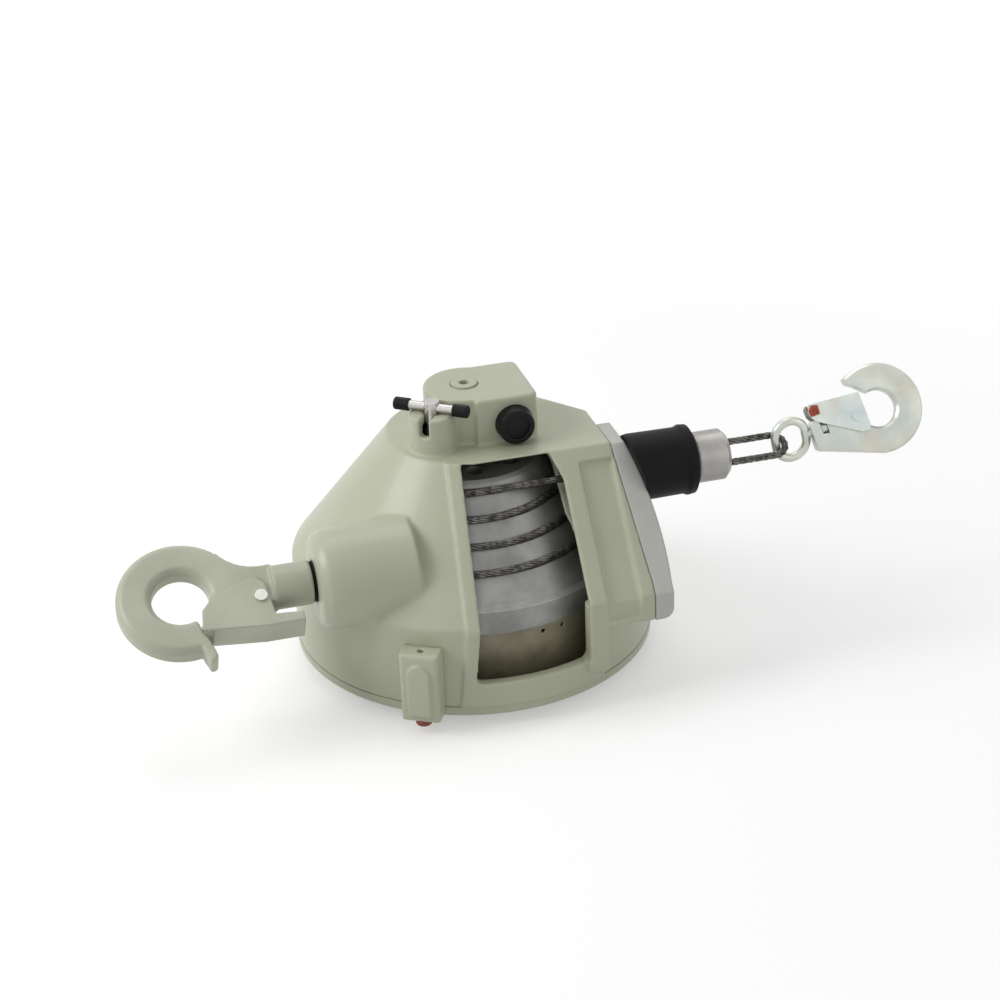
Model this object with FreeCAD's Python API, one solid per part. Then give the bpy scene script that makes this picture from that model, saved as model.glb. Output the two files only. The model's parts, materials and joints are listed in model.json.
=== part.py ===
import FreeCAD
import Part
import math
import os

# Spring balancer for hand tools, lying on its flat back. Millimetres, +Z up.
# Z is the drum's axis, +X the way the cable is pulled, -Y the window side.
# The origin is on the drum's axis, on the rest face of the rear hub.

V = FreeCAD.Vector
X, Y, Z = V(1, 0, 0), V(0, 1, 0), V(0, 0, 1)
O = V(0, 0, 0)
os.makedirs("parts", exist_ok=True)

# ---- driving dimensions -------------------------------------------------
# running clearances
gap = 0.3                 # between pieces of different bodies
fit = 0.06                # radial, shafts and pins in their bores
nest = 0.15               # radial, pieces that stay together

# housing and back cover
rim_r = 118.0             # round rim of housing and cover
hub_r = 45.0              # rear hub that the balancer rests on
hub_h = 8.0
hub_plate_t = 2.6
cover_t = 7.0             # cover's flange
wall = 6.0
skirt_h = 55.0            # upright wall above the cover
cone_slope = 0.796        # radius lost per mm of height
cone_h = 83.0             # from the skirt's top to the flat crown
crown_t = 6.0

# spout: the front wall carried on tangentially to the cable guide
spout_low = 41.0          # its underside above the cover
spout_x = 89.0            # end face at the foot
spout_lean = 8.5          # how far the end face leans in at the crown
guide_cheek = 12.0        # how far the guide stands out of the spout
guide_bulge = 3.0
guide_round = 7.0
panel_deep = 2.5          # recess in the spout's front
panel_w = 21.5
post_w = 8.5              # raised frame left of the window
window_l_low, window_l_top = -29.0, -17.0
window_r = 46.0
window_low = 17.0         # sill above the cover
window_round = 4.0        # its lower corners
frame_out = 1.8           # raised border beyond the wall
post_r_w = 12.0           # post between window and recessed panel

# cable and drum
rope_r = 2.4
exit_r = 54.0             # cable centre from the axis when fully wound
exit_z = 133.5
pitch = 13.6              # groove to groove
half_turns = 7            # wound on the drum
drum_wall = 6.0
land_in = 1.4             # drum's surface inside the cable's centre line
flange_over = 1.5         # drum's flange beyond the spring case
flange_h = 16.0
drum_nose = 5.0           # plain end above the first groove
drum_foot = 43.0          # flange band's underside above the cover

# spring case under the drum
case_clear = 10.5         # between the case and the housing's wall
case_h = 38.0
case_wall = 2.5
coils = 6                 # turns of the power spring that are modelled
strip_t = 1.6

# spindle, bearings, worm drive
shaft_r = 10.0
wheel_r = 18.0
wheel_h = 12.0
worm_r = 8.0
worm_x = 24.0             # worm's axis, to the right of the drum's axis
worm_z = 13.0             # worm's axis above the crown
box_r = 26.5
box_h = 31.0
box_x = 40.5
box_front = 30.0
box_back = 24.5
cap_r = 12.4
cap_out = 8.5
plug_r = 8.5

# drum lock
lock_x, lock_y = -27.0, -21.0
boss_r = 14.6
boss_h = 24.5
pin_r = 5.0
pin_lift = 4.0            # how far the handle can be drawn up
collar_t = 2.0
bar_r = 2.9
bar_len = 50.0
bar_turn = -36.0          # the handle's angle seen from above
tip_r = 4.1
tip_len = 10.0

# suspension hook, hung in a boss on the left
hook_y, hook_z = -55.0, 90.0
mouth_in = 2.0            # boss's mouth inside the rim's radius
hook_boss_len = 62.0
collar_r = 14.0
journal_r = 8.0
bush_r = 11.0
hook_boss_r = 24.0
pocket_r = 15.0           # round the nut, inside the boss
seal_r = 12.8
seal_len = 3.9
seal_out = 1.2            # it stands out of the mouth
hook_reach = 84.0         # bowl centre to the boss's mouth
hook_out, hook_in = 39.5, 17.7
hook_t = 16.0
hook_bevel = 3.6
hook_shank = 26.0         # round shank outside the boss
hook_lean = -60.0         # the hook is free to turn; it lies back
latch_t = 1.5
latch_x, latch_z = 48.5, -10.0  # its pivot from the bowl's centre
latch_pin_r = 2.4
latch_side = 0.6          # between its cheeks and the hook
latch_low = 31.5          # underside of its web below the bowl's centre
bush_len = 9.0
washer_t = 2.5

# cable's outer end
bumper_r = 22.0
bumper_len = 43.5
socket_r = 16.5
socket_len = 22.5
eye_x = 202.5             # centre of the swivel eye
eye_w, eye_v = 10.4, 13.2 # half axes of its oval, to the stock's middle
eye_stock = 2.85
leg_y = 7.8               # half the width of the cable's loop
loop_slack = 0.8          # between the loop's bend and the eye's stock
loop_lean = 30.0          # its plane, turned about the cable's line

# snap hook
snap_t = 9.0
snap_bevel = 1.8
snap_bowl = 61.0          # eye centre to bowl centre
snap_out, snap_in = 29.5, 12.0
snap_pitch = -11.8        # it stands up a little from the cable's line
snap_lean = -32.0
swivel_x = 14.0           # tail of the hook, from the eye's centre
swivel_r = 3.0
head_x, head_r = 21.0, 4.2
gate_x, gate_z = 45.0, 0.0
gate_r = 2.2
gate_t = 1.4

# arrest block on the rim
block_turn = -120.0
block_w = 25.0
block_out = 13.0          # how far it stands out of the rim
block_low, block_h = 3.5, 47.0
button_in = 7.0           # button's axis behind the block's face
button_r = 5.2

# ---- worked out from the above -------------------------------------------
seat_z = hub_h + cover_t                    # joint of cover and housing
skirt_z = seat_z + skirt_h
crown_z = skirt_z + cone_h
crown_r = rim_r - cone_slope * cone_h
side = wall * math.hypot(1, cone_slope)     # the wall measured level
bore_r = rim_r - wall
case_r = bore_r - case_clear
flange_r = case_r + flange_over
block_r = rim_r + block_out
button_x = block_r - button_in
mouth_x = -(rim_r - mouth_in)
lock_top = crown_z + boss_h
bar_z = lock_top + bar_r + gap


def cone_r(z):
    """Outer radius of the conical wall at height z."""
    return rim_r - cone_slope * (z - skirt_z)


def groove_r(z):
    """Distance of the wound cable's centre from the axis at height z."""
    return exit_r + cone_slope * (exit_z - z)


# ---- helpers ---------------------------------------------------------------
def cyl(r, h, at, axis=Z):
    return Part.makeCylinder(r, h, at, axis)


def tube(r_out, r_in, h, at, axis=Z):
    return cyl(r_out, h, at, axis).cut(cyl(r_in, h, at, axis))


def block(x0, x1, y0, y1, z0, z1):
    return Part.makeBox(x1 - x0, y1 - y0, z1 - z0, V(x0, y0, z0))


def prism(points, along):
    """Solid of a flat outline pushed along a vector."""
    wire = Part.makePolygon(points + [points[0]])
    return Part.Face(wire).extrude(along)


def turned(profile):
    """Solid of revolution about Z from (radius, height) points."""
    pts = [V(r, 0, z) for r, z in profile]
    return Part.Face(Part.makePolygon(pts + [pts[0]])).revolve(O, Z, 360)


def fuse(first, *rest):
    return first.multiFuse(list(rest)).removeSplitter()


def group(shapes):
    return Part.makeCompound(shapes)


def spun(shape, angle, at=O, axis=Z):
    copy = shape.copy()
    copy.rotate(at, axis, angle)
    return copy


def moved(shape, by):
    copy = shape.copy()
    copy.translate(by)
    return copy


def arc(a, b, c):
    return Part.Arc(a, b, c).toShape()


def line(a, b):
    return Part.LineSegment(a, b).toShape()


def polar(r, angle, at=O):
    t = math.radians(angle)
    return at + V(r * math.cos(t), 0, r * math.sin(t))


def soften(shape, size, keep):
    """Fillet of the edges whose middle point passes the test."""
    edges = [e for e in shape.Edges if keep(e)]
    return shape.makeFillet(size, edges) if edges else shape


def save(name, shape):
    shape.exportStep("parts/%s.step" % name)


# ---- housing ------------------------------------------------------------------
def front_y(z):
    """Front face of the spout, level with the cone's foremost line."""
    return -min(cone_r(z), rim_r - 3.0)


def spout_solid(inset=0.0, extra=0.0):
    """Convex body between window and guide; inset moves its walls inwards."""
    foot = seat_z + spout_low + inset
    top = crown_z - inset
    knee = skirt_z + 3.0 / cone_slope
    slant = inset * math.hypot(1, cone_slope)
    points = [V(-10, front_y(foot) + inset, foot), V(-10, front_y(knee) + inset, knee - inset),
              V(-10, -cone_r(top) + slant, top), V(-10, 40, top), V(-10, 0, foot)]
    body = prism(points, V(130, 0, 0))
    end = [V(-10, -150, foot - 1), V(spout_x + extra, -150, foot - 1), V(spout_x + extra, -150, knee + 5),
           V(spout_x - spout_lean + extra, -150, crown_z + 1), V(-10, -150, crown_z + 1)]
    body = body.common(prism(end, V(0, 200, 0)))
    # the back is planed off so that it runs into the round wall
    plane = V(math.cos(math.radians(38)), math.sin(math.radians(38)), 0.42)
    reach = crown_r + 5.5 - inset
    cutter = Part.makeBox(300, 300, 300, V(0, -150, -150))
    cutter.Placement = FreeCAD.Placement(V(0, 0, crown_z), FreeCAD.Rotation(X, plane))
    cutter.translate(plane.normalize() * reach)
    return body.cut(cutter)


def box_outline(r, x1, y_front, y_back, h, z0):
    """Plan of the worm box: round over the drum's axis, square to the right."""
    right = block(0, x1, -y_front, y_back, z0, z0 + h)
    return fuse(cyl(r, h, V(0, 0, z0)), right)


def window_cutter():
    low = seat_z + window_low
    top = crown_z - 1.5
    pts = [V(window_l_low, -160, low), V(window_r, -160, low), V(window_r, -160, top - 14),
           V(window_r - 6, -160, top), V(window_l_top, -160, top)]
    body = prism(pts, V(0, 160 - 20, 0))
    return soften(body, window_round, lambda e: abs(e.CenterOfMass.z - low) < 0.1 and e.Length > 50
                  and abs(e.tangentAt(0).y) > 0.9)


def window_frame():
    """Raised border left of the window and under it, following the wall."""
    sill, right = seat_z + window_low, window_r + post_r_w
    border = [V(window_l_low - post_w - 1.5, -160, seat_z), V(right, -160, seat_z), V(right, -160, sill),
              V(window_l_low, -160, sill), V(window_l_top, -160, crown_z), V(window_l_top - post_w, -160, crown_z)]
    shell = skin(frame_out).cut(skin(-0.5))
    return shell.common(prism(border, V(0, 160, 0)))


def right_post():
    """The spout's front wall carried down beside the window to the sill."""
    low, high = seat_z + window_low - post_w, skirt_z + 3.0 / cone_slope
    front = front_y(low)
    points = [V(window_r - 1, front + 3, low), V(window_r - 1, front, low + 5), V(window_r - 1, front, high),
              V(window_r - 1, -60, high), V(window_r - 1, -60, low)]
    return prism(points, X * (post_r_w + 1))


def skin(grow):
    """The housing's round outside, grown by a thickness, without the spout."""
    g = grow * math.hypot(1, cone_slope)
    return turned([(0, seat_z), (rim_r + grow, seat_z), (rim_r + grow, skirt_z),
                   (crown_r + g, crown_z), (0, crown_z)])


def front_housing():
    outer = skin(0.0)
    spout = spout_solid()
    frame = window_frame()
    r = hook_boss_r
    hook_boss = turned([(0, 0), (r, 0), (r + 4, 1.5), (r + 7, 6), (r + 8, 12), (r + 10, hook_boss_len),
                        (0, hook_boss_len)])
    hook_boss = moved(spun(hook_boss, 90, O, Y), V(mouth_x, hook_y, hook_z))
    worm_box = box_outline(box_r, box_x, box_front, box_back, box_h + 1, crown_z - 1)
    worm_box = soften(worm_box, 5.0, lambda e: e.Length > box_h and abs(e.tangentAt(0).z) > 0.9
                      and e.CenterOfMass.x > box_x - 1)
    worm_box = soften(worm_box, 2.0, lambda e: e.CenterOfMass.z > crown_z + box_h - 0.5)
    boss = cyl(boss_r, boss_h + 12, V(lock_x, lock_y, crown_z - 12))
    body = fuse(outer, spout, frame, right_post(), hook_boss, worm_box, boss)
    return cut_housing(body)


def cavity():
    inner_top = crown_z - crown_t
    inner = turned([(0, seat_z - 1), (bore_r, seat_z - 1), (bore_r, skirt_z),
                    (cone_r(inner_top) - side, inner_top), (0, inner_top)])
    return inner


def guide_slot(grow, x0, x1):
    """Slanted slot along the cable's travel from the small to the large end."""
    z_hi = exit_z + 7 + grow
    z_lo = exit_z - (half_turns / 2.0 + 0.5) * pitch - 4 - grow
    half = rope_r + 2.2 + grow
    pts = [V(x0, -groove_r(z_hi) - half, z_hi), V(x0, -groove_r(z_hi) + half, z_hi),
           V(x0, -groove_r(z_lo) + half, z_lo), V(x0, -groove_r(z_lo) - half, z_lo)]
    return prism(pts, V(x1 - x0, 0, 0))


def cut_housing(body):
    body = body.cut(cavity())
    body = body.cut(window_cutter())
    body = body.cut(guide_slot(4.0 + nest, 0, spout_x + 20))
    # recessed panel in the spout's front
    left, right = window_r + post_r_w, window_r + post_r_w + panel_w
    foot = seat_z + spout_low + 5
    panel = [V(left, -160, foot), V(right, -160, foot), V(right, -160, crown_z - 8), V(left, -160, crown_z - 8)]
    shell = spout_solid().cut(spout_solid(panel_deep))
    body = body.cut(shell.common(prism(panel, V(0, 125, 0))))
    # hook boss: mouth, bush seat, pocket for washer and nut
    axis = V(mouth_x, hook_y, hook_z)
    body = body.cut(cyl(seal_r + nest, 3.0, axis, X))
    body = body.cut(cyl(bush_r + nest, 40, axis, X))
    body = body.cut(cyl(pocket_r, 60, axis + X * 12, X))
    # worm gear chamber, worm bore, cap seat, plug bore
    body = body.cut(cyl(wheel_r + 2.2, worm_z + 8 + crown_t + 1, V(0, 0, crown_z - crown_t - 1)))
    body = body.cut(cyl(worm_r + fit, box_front + 16, V(worm_x, -box_front - 1, crown_z + worm_z), Y))
    body = body.cut(cyl(cap_r - 3.0, 8 + 1, V(worm_x, -box_front - 1, crown_z + worm_z), Y))
    body = body.cut(cyl(plug_r, 10, V(0, 0, crown_z + box_h - 6)))
    # lock: pin bore and the deep slot for the handle
    top = crown_z + boss_h
    body = body.cut(cyl(pin_r + fit, 80, V(lock_x, lock_y, top - 70)))
    body = body.cut(cyl(pin_r + 3.2, boss_h - 12.5, V(lock_x, lock_y, top - boss_h + 6)))
    slot = block(-boss_r - 2, boss_r - 6, -bar_r - gap, bar_r + gap, top - 12, top + 1)
    body = body.cut(moved(spun(slot, bar_turn + 90), V(lock_x, lock_y, 0)))
    # arrest block: opening for the pawl; screw holes of the cover
    hole = block(0, 30, -7, 7, seat_z + 8, seat_z + 20)
    body = body.cut(spun(moved(hole, V(bore_r - 8, 0, 0)), block_turn))
    for angle in cover_angles():
        body = body.cut(spun(cyl(2.6, 16, V(bore_r - 1, 0, seat_z - 1)), angle))
    return body


def cover_angles():
    return [12 + 60 * i for i in range(6)]


def back_cover():
    """Flange, rear hub and the fixed bearing seat of the spindle."""
    body = turned([(0, 0), (hub_r - 2, 0), (hub_r, 2), (hub_r, hub_h), (rim_r - 2, hub_h),
                   (rim_r, hub_h + 2), (rim_r, seat_z), (0, seat_z)])
    register = tube(bore_r - nest, bore_r - 5, 2.5, V(0, 0, seat_z))
    for angle in cover_angles():
        register = register.cut(spun(cyl(5.2, 3, V(bore_r - 1, 0, seat_z)), angle))
    body = fuse(body, register, cyl(shaft_r + 7, 3, V(0, 0, seat_z)))
    body = body.cut(cyl(shaft_r + fit, 40, V(0, 0, -1)))
    body = body.cut(cyl(shaft_r + 6, hub_plate_t + 0.1 + 1, V(0, 0, -1)))
    for i in range(6):
        # shallow fields between the ribs of the rear face
        field = block(hub_r + 8, rim_r - 16, -16, 16, hub_h - 1, hub_h + 2)
        body = body.cut(spun(field, 42 + 60 * i))
    for angle in cover_angles():
        body = body.cut(spun(cyl(2.6 + nest, 30, V(bore_r - 1, 0, -1)), angle))
        body = body.cut(spun(cyl(4.8, 4.5, V(bore_r - 1, 0, hub_h - 0.5)), angle))
    return body


def cover_screws():
    screws = []
    for angle in cover_angles():
        at = V(bore_r - 1, 0, hub_h + 0.5)
        head = cyl(4.4, 3.5, at).cut(cyl(2.0, 2.2, at))
        screws.append(spun(fuse(head, cyl(2.5, 15, at + Z * 3.5)), angle))
    return group(screws)


def cover_hub_plate():
    """Disc that closes the spindle's bore in the rear hub."""
    return cyl(shaft_r + 6 - nest, hub_plate_t, O)


# ---- cable guide -----------------------------------------------------------------
def guide_profile(dx):
    """Side view of the guide's flange, from the end face out by dx."""
    foot, knee = seat_z + spout_low, skirt_z + 9
    x_low, x_top = spout_x, spout_x - spout_lean
    face = arc(V(x_low + dx, 0, knee), V((x_low + x_top) / 2 + dx + guide_bulge, 0, (knee + crown_z) / 2),
               V(x_top + dx - 3, 0, crown_z - 1))
    start, end = V(x_low, 0, foot), V(x_top + 0.3, 0, crown_z - 1)
    top = V(x_top + dx - 3, 0, crown_z - 1)
    round_r = min(guide_round, dx - 1)
    bend = V(x_low + dx - round_r * 0.293, 0, foot + round_r * 0.293)
    low_a, low_b = V(x_low + dx - round_r, 0, foot), V(x_low + dx, 0, foot + round_r)
    edges = [line(start, low_a), arc(low_a, bend, low_b), line(low_b, V(x_low + dx, 0, knee)),
             face, line(top, end), line(end, V(x_low, 0, knee - 4)), line(V(x_low, 0, knee - 4), start)]
    return Part.Face(Part.Wire(edges))


def cable_guide():
    """Nylon mouthpiece: a thick flange on the spout's end and a tongue into it."""
    flange = moved(guide_profile(guide_cheek), V(0, -150, 0)).extrude(V(0, 190, 0))
    foot, top = seat_z + spout_low, crown_z - 1
    knee = skirt_z + 3.0 / cone_slope
    section = [V(0, front_y(foot), foot), V(0, front_y(knee), knee), V(0, -cone_r(top), top),
               V(0, -cone_r(top) + 30, top), V(0, front_y(knee) + 44, knee), V(0, front_y(foot) + 44, foot)]
    flange = flange.common(prism([p + X * 60 for p in section], X * 60))
    flange = flange.cut(spout_solid()).cut(skin(0.0))
    tongue = guide_slot(4.0, spout_x - 20, spout_x + 4).common(guide_profile_block())
    body = fuse(flange, tongue)
    return body.cut(guide_slot(0.0, 0, spout_x + 40))


def guide_profile_block():
    """Space left of the guide's outer face, which trims the tongue."""
    return moved(guide_profile(6), V(-1, -150, 0)).extrude(V(0, 190, 0)).fuse(
        block(spout_x - 40, spout_x - 5, -150, 40, seat_z, crown_z))


# ---- drum --------------------------------------------------------------------------
def half_turn(r, z, side_x, section, n):
    """Half a turn of the winding: a flat arc, tilted by half a pitch."""
    r_arc = r + cone_slope * pitch / 4
    tilt = math.degrees(math.atan(pitch / 4 / r_arc))
    corners = [V(side_x * r_arc + section * math.cos(math.pi * (2 * i + 1) / n), 0,
                 section * math.sin(math.pi * (2 * i + 1) / n)) for i in range(n)]
    arc = Part.Face(Part.makePolygon(corners + [corners[0]])).revolve(O, -Z, 180)
    arc.rotate(O, Y, -tilt * side_x)
    arc.translate(V(side_x * (r - r_arc), 0, z - pitch / 4))
    return arc


def winding(section, n):
    """The cable's turns, from the small end down, ending where it runs off."""
    turns = []
    for i in range(half_turns):
        z = exit_z - i * pitch / 2
        turns.append(half_turn(groove_r(z), z, 1 if i % 2 == 0 else -1, section, n))
    # the spiral starts on +X; it is turned so that it starts at the run-off
    return [spun(t, -90) for t in turns]


drum_top = exit_z + drum_nose
drum_low = seat_z + drum_foot
band_top = drum_low + flange_h


def drum():
    outer_top = groove_r(drum_top) - land_in
    r_band = groove_r(band_top + 4) + 0.2
    body = turned([(0, drum_low), (flange_r, drum_low), (flange_r, band_top), (r_band, band_top + 1.5),
                   (outer_top + 1.5, drum_top - 2), (outer_top - 1, drum_top), (0, drum_top)])
    slope_in = drum_wall * math.hypot(1, cone_slope) + 3
    hollow = turned([(0, drum_low - 1), (flange_r - 8, drum_low - 1), (flange_r - 8, drum_low + 4),
                     (outer_top - slope_in + 2, drum_top - 7), (0, drum_top - 7)])
    body = body.cut(hollow)
    hub = cyl(shaft_r + 13, drum_top - drum_low - 3, V(0, 0, drum_low + 2))
    body = fuse(body, hub)
    for i in range(6):
        web = block(shaft_r + 10, groove_r(drum_low + 40) - 22, -2, 2, drum_low + 20, drum_top - 6)
        body = body.fuse(spun(web, 15 + 60 * i).common(turned([
            (0, drum_low + 20), (groove_r(drum_low + 20) - 6, drum_low + 20),
            (outer_top - 5, drum_top - 6), (0, drum_top - 6)])))
    body = body.removeSplitter()
    body = body.cut(cyl(shaft_r + 0.6, 200, O))
    for z0 in (drum_low, drum_top - 9):
        body = body.cut(cyl(bearing_r + nest, 10, V(0, 0, z0 if z0 > drum_low else drum_low + 1)))
    # holes in the small end for the lock pin
    for i in range(8):
        at = V(math.hypot(lock_x, lock_y), 0, drum_top - 12)
        body = body.cut(spun(cyl(pin_r + 0.6, 20, at), math.degrees(math.atan2(lock_y, lock_x)) + 45 * i))
    body = body.cut(cyl(rope_r + 0.35, exit_r, out_at(0), X))
    grooves = winding(rope_r + 0.35, 6)
    return body.cut(grooves[0].multiFuse(grooves[1:]))


bearing_r = 18.0


def bearing(z):
    """Sealed ball bearing: rings and shield as one turned body."""
    ring = tube(bearing_r, shaft_r + fit, 8, V(0, 0, z))
    for face in (z, z + 7.4):
        ring = ring.cut(tube(bearing_r - 2.4, shaft_r + 2.4, 0.6, V(0, 0, face)))
    return ring


def bearings():
    return group([bearing(drum_low + 2.5), bearing(drum_top - 8.5)])


case_top = drum_low
case_low = case_top - case_h


def spring_case():
    """Deep-drawn pot under the drum; ratchet notches in its wall."""
    body = turned([(shaft_r + 8, case_low + 2), (case_r, case_low + 2), (case_r, case_top - 1.5),
                   (case_r - case_wall, case_top - 1.5), (case_r - case_wall, case_low + 2 + case_wall),
                   (shaft_r + 8, case_low + 2 + case_wall)])
    for i in range(3):
        notch = block(case_r - case_wall - 1, case_r + 1, -7, 7, case_low + 8, case_low + 18)
        body = body.cut(spun(notch, block_turn + 120 * i))
    for i in (0, 1):
        body = body.cut(spun(cyl(1.5, 12, V(case_r - 6, 0, case_top - 5), X), -79 + 8 * i))
    return body


def case_lid():
    """Disc between spring and drum, spigoted into the pot."""
    body = turned([(shaft_r + 8, case_top - 4), (case_r - case_wall - nest, case_top - 4),
                   (case_r - case_wall - nest, case_top - 1.5), (case_r + 0.8, case_top - 1.5),
                   (case_r + 0.8, case_top), (shaft_r + 8, case_top)])
    return body


def power_spring():
    """Flat spiral from the spindle's collar to the pot's wall, by half rings."""
    inner, outer = shaft_r + 5.2, case_r - case_wall - strip_t - 0.4
    step = (outer - inner) / (2.0 * coils)
    low, high = case_low + 2 + case_wall + 1.0, case_top - 5.0
    halves, r, centre = [], inner, 0.0
    for i in range(2 * coils):
        sign = 1 if i % 2 == 0 else -1
        ring = tube(r + strip_t, r, high - low, V(centre, 0, low))
        halves.append(ring.common(block(-200, 200, 0 if sign > 0 else -200, 200 if sign > 0 else 0, low, high)))
        r += step
        centre -= step * sign
    return halves[0].multiFuse(halves[1:]).removeSplitter()


def spindle():
    """Shaft through the drum, with a collar for the spring and the wheel's seat."""
    top = crown_z + 15.0
    body = fuse(cyl(shaft_r, top - 8.0 - hub_plate_t - 1, V(0, 0, hub_plate_t + 1)), cyl(shaft_r + 5, case_h - 9, V(0, 0, case_low + 6)))
    return body


def worm_wheel():
    body = tube(wheel_r, shaft_r + nest, wheel_h, V(0, 0, crown_z + worm_z - wheel_h / 2))
    teeth = 24
    for i in range(teeth):
        slot = block(wheel_r - 1.6, wheel_r + 1, -1.1, 1.1, crown_z, crown_z + 40)
        body = body.cut(spun(slot, 360.0 / teeth * i))
    return body


def worm():
    """Worm with a square end behind the black cap."""
    z = crown_z + worm_z
    back, front = box_front - 11.5, 14
    body = cyl(worm_r, back + front, V(worm_x, -back, z), Y)
    waist = tube(worm_r + 1, worm_r - 3.2, 22, V(worm_x, -11, z), Y)
    thread = []
    for i in range(4):
        thread.append(tube(worm_r - 2.2, worm_r - 3.4, 2.0, V(worm_x, -9.5 + 5 * i, z), Y))
    body = fuse(body.cut(waist), *thread)
    socket = block(worm_x - 3, worm_x + 3, -back - 1, -back + 8, z - 3, z + 3)
    return body.cut(socket)


def adjuster_cap():
    at = V(worm_x, -box_front, crown_z + worm_z)
    head = Part.makeCone(cap_r - 1.0, cap_r, cap_out, at - Y * cap_out, Y)
    head = soften(head, 1.2, lambda e: abs(e.CenterOfMass.y + box_front + cap_out) < 0.1 and e.Length > 20)
    body = fuse(head, cyl(cap_r - 3.0 - nest, 6, at, Y))
    return body.cut(cyl(cap_r - 4.4, 2.2, at - Y * (cap_out + 0.2), Y))


def top_plug():
    at = V(0, 0, crown_z + box_h - 5.5)
    body = cyl(plug_r - nest, 6.2, at)
    hexagon = prism([at + V(3.6 * math.cos(math.pi / 3 * i), 3.6 * math.sin(math.pi / 3 * i), 2.5)
                     for i in range(6)], Z * 5)
    return body.cut(hexagon)


# ---- drum lock ------------------------------------------------------------------
def lock_pin():
    """Plunger over the drum's small end; it is drawn up in this pose."""
    low = drum_top + 1.2
    body = cyl(pin_r, bar_z + bar_r + 1.6 - low, V(lock_x, lock_y, low))
    groove = tube(pin_r + 1, pin_r - 1.0, collar_t + 2 * nest, V(lock_x, lock_y, crown_z + 7 - nest))
    bore = cyl(bar_r + fit, 30, V(lock_x, lock_y, bar_z) - X * 15, X)
    return body.cut(groove).cut(spun(bore, bar_turn, V(lock_x, lock_y, 0)))


def lock_collar():
    """Ring that the spring bears on; the pin turns in it."""
    return tube(pin_r + 2.6, pin_r - 1.0 + fit, collar_t, V(lock_x, lock_y, crown_z + 7))


def lock_bar():
    bar = cyl(bar_r, bar_len - 8, V(lock_x - bar_len / 2 + 4, lock_y, bar_z), X)
    return spun(bar, bar_turn, V(lock_x, lock_y, 0))


def bar_tips():
    tips = []
    for sign in (-1, 1):
        at = V(lock_x + sign * bar_len / 2, lock_y, bar_z)
        tip = cyl(tip_r, tip_len, at, X * -sign)
        tip = soften(tip, 1.2, lambda e: abs(e.CenterOfMass.x - at.x) < 0.1 and e.Length > 10)
        tip = tip.cut(cyl(bar_r + 0.02, tip_len, at - X * sign * 4, X * -sign))
        tips.append(spun(tip, bar_turn, V(lock_x, lock_y, 0)))
    return group(tips)


def lock_spring():
    low = crown_z + 7 + collar_t + 0.1
    return tube(pin_r + 2.2, pin_r + 0.9, lock_top - 6.6 - low, V(lock_x, lock_y, low))


# ---- suspension hook ---------------------------------------------------------------
def hook_blank():
    """Forged hook in its own plane: bowl centre at the origin, shank to +X."""
    shank = hook_reach - hook_shank
    out_top, out_low = polar(hook_out, 50), polar(hook_out, -80)
    in_low, in_top = polar(hook_in, -68), polar(hook_in, -6)
    lip, nose_in = V(9.6, 0, -hook_in - 9.8), V(15.2, 0, -hook_out - 4.0)
    nose_out = V(10.4, 0, -hook_out - 7.6)
    heel = V(hook_in + 15.3, 0, -collar_r + 1.4)
    a, b = V(shank, 0, collar_r - 0.4), V(shank, 0, -collar_r + 0.4)
    edges = [arc(a, V(35.5, 0, 18.5), out_top), arc(out_top, V(-hook_out, 0, 0), out_low),
             arc(out_low, V(8.9, 0, -hook_out - 3.4), nose_out), arc(nose_out, V(14.2, 0, -hook_out - 7.4), nose_in),
             arc(nose_in, V(12.6, 0, -hook_out + 5.0), lip), arc(lip, V(8.2, 0, -hook_in - 3.8), in_low),
             arc(in_low, V(-hook_in, 0, 0), in_top), arc(in_top, V(22.5, 0, -9.3), heel), line(heel, b), line(b, a)]
    blank = Part.Face(Part.Wire(edges)).extrude(V(0, hook_t, 0))
    blank.translate(V(0, -hook_t / 2, 0))
    return blank


def bevelled(body, r, size, half, first, last, centre=O):
    """Bevel on both sides of a plate's arc; size is negative for an inner arc."""
    for sign in (1, -1):
        corners = [V(r - size, 0, 0), V(r + size, 0, 0), V(r + size, 0, 0)]
        for corner, y in zip(corners, (half + abs(size) * 0.02, half, half - 2 * abs(size))):
            corner.y = sign * y
        wedge = Part.Face(Part.makePolygon(corners + [corners[0]]))
        wedge.rotate(O, Y, -first)
        wedge = wedge.revolve(O, -Y, last - first)
        body = body.cut(moved(wedge, centre))
    return body


def suspension_hook():
    blank = hook_blank()
    blank = bevelled(blank, hook_out, hook_bevel, hook_t / 2, 46, 281)
    blank = bevelled(blank, hook_in, -hook_bevel, hook_t / 2, -6, 292)
    shank_x = hook_reach - hook_shank
    shank_end = hook_reach - seal_out - 2 * gap
    shank = cyl(collar_r, shank_end - shank_x + 1, V(shank_x - 1, 0, 0), X)
    shank = soften(shank, 1.0, lambda e: abs(e.CenterOfMass.x - shank_end) < 0.1)
    journal = cyl(journal_r, hook_reach + 27.5 - shank_end + 1, V(shank_end - 1, 0, 0), X)
    body = fuse(blank, shank, journal)
    body = body.cut(cyl(latch_pin_r + nest, 60, V(latch_x, -30, latch_z), Y))
    # slot in the neck for the latch's spring
    body = body.cut(block(latch_x - 5.5, latch_x + 5, -2.6, 2.6, -collar_r - 2, latch_z + 4.2))
    body = body.cut(cyl(1.6, 40, V(hook_reach + 24.2, 0, -20), Z))
    return hang(body)


def hang(shape):
    """From the hook's own plane to its place under the boss."""
    copy = shape.copy()
    copy.rotate(O, X, hook_lean)
    copy.translate(V(mouth_x - hook_reach, hook_y, hook_z))
    return copy


latch_web = -latch_low


def latch_half():
    return hook_t / 2 + latch_side + latch_t


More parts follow.
